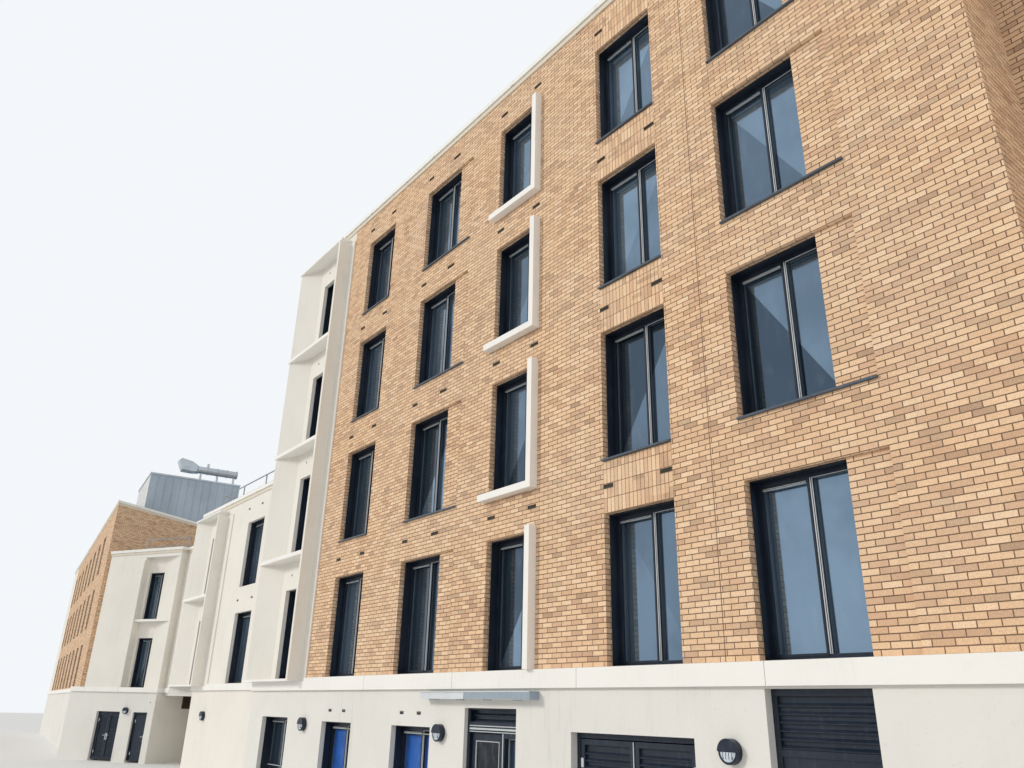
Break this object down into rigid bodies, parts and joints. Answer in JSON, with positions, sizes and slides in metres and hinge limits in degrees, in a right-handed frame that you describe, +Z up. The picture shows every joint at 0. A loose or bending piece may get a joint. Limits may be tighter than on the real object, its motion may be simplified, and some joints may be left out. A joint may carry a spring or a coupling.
{
  "type": "apartment block scale model at 1:2",
  "caption": "Brick apartment block with a white folded bay tower, a lower white link, an angled white wing and a far brick block; entrance and plant doors open",
  "frame": {"origin": "on the ground under the middle of the main brick block's footprint", "axes": "+X along the street front to its right, +Y from the street into the building, +Z up"},
  "size_m": [39.2656, 7.9812, 8.5476],
  "materials": {
    "brick": "buff stretcher-bond brick with pale mortar",
    "white_render": "smooth off-white render",
    "concrete": "plain concrete",
    "glass": "clear double glazing",
    "white_metal": "satin off-white coated metal",
    "navy_metal": "satin dark blue coated metal",
    "grey_metal": "matt grey coated metal"
  },
  "bodies": {
    "building": {"ground_slabs": "concrete", "main_front": "brick", "main_right_side": "brick", "main_back": "brick", "main_floors": "concrete", "main_coping": "white_metal", "string_course": "white_render", "ground_front_left": "white_render", "ground_front_right": "white_render", "door_lintels": "white_render", "ground_sides": "white_render", "main_windows": "navy_metal", "main_glass": "glass", "window_surrounds": "white_render", "window_sills": "grey_metal", "tower_front": "white_render", "tower_fin": "white_render", "tower_ledges": "white_render", "tower_side": "white_render", "tower_windows": "navy_metal", "entrance_frame": "navy_metal", "entrance_canopy": "white_metal", "ground_windows": "navy_metal", "door_frames": "navy_metal", "wall_louvres": "navy_metal", "back_windows": "navy_metal", "outer_glass": "glass", "link_front": "white_render", "low_fins": "white_render", "low_ledges": "white_render", "low_sides": "white_render", "low_back": "white_render", "low_floors": "concrete", "low_coping": "white_metal", "low_windows": "navy_metal", "wing_front": "white_render", "wing_ground": "white_render", "far_front": "brick", "far_side": "brick", "far_back": "brick", "far_end": "white_render", "far_ground": "white_render", "far_floors": "concrete", "far_coping": "white_metal", "far_windows": "navy_metal", "plant_room": "grey_metal", "plant_duct": "grey_metal", "wall_lights": "navy_metal", "guard_rails": "grey_metal"},
    "entrance_leaf": {"entrance_door": "navy_metal", "entrance_pane": "glass"},
    "plant_leaf_left": {"plant_door_left": "navy_metal"},
    "plant_leaf_right": {"plant_door_right": "navy_metal"},
    "wing_single_leaf": {"wing_door": "navy_metal"},
    "wing_pair_left": {"wing_leaf_left": "navy_metal"},
    "wing_pair_right": {"wing_leaf_right": "navy_metal"}
  },
  "joints": [
    {"name": "entrance_hinge", "type": "hinge", "parent": "building", "child": "entrance_leaf", "pos_m": [-0.749, -3.164, 0.047], "axis": [0, 0, 1], "range_deg": [0, 90]},
    {"name": "plant_left_hinge", "type": "hinge", "parent": "building", "child": "plant_leaf_left", "pos_m": [0.586, -3.19, 0.047], "axis": [0, 0, -1], "range_deg": [0, 90]},
    {"name": "plant_right_hinge", "type": "hinge", "parent": "building", "child": "plant_leaf_right", "pos_m": [1.634, -3.19, 0.047], "axis": [0, 0, 1], "range_deg": [0, 90]},
    {"name": "wing_door_hinge", "type": "hinge", "parent": "building", "child": "wing_single_leaf", "pos_m": [-15.2235, -2.1333, 0.047], "axis": [0, 0, 1], "range_deg": [0, 90]},
    {"name": "wing_left_hinge", "type": "hinge", "parent": "building", "child": "wing_pair_left", "pos_m": [-16.198, -2.692, 0.047], "axis": [0, 0, -1], "range_deg": [0, 90]},
    {"name": "wing_right_hinge", "type": "hinge", "parent": "building", "child": "wing_pair_right", "pos_m": [-15.6321, -2.3847, 0.047], "axis": [0, 0, 1], "range_deg": [0, 90]}
  ]
}
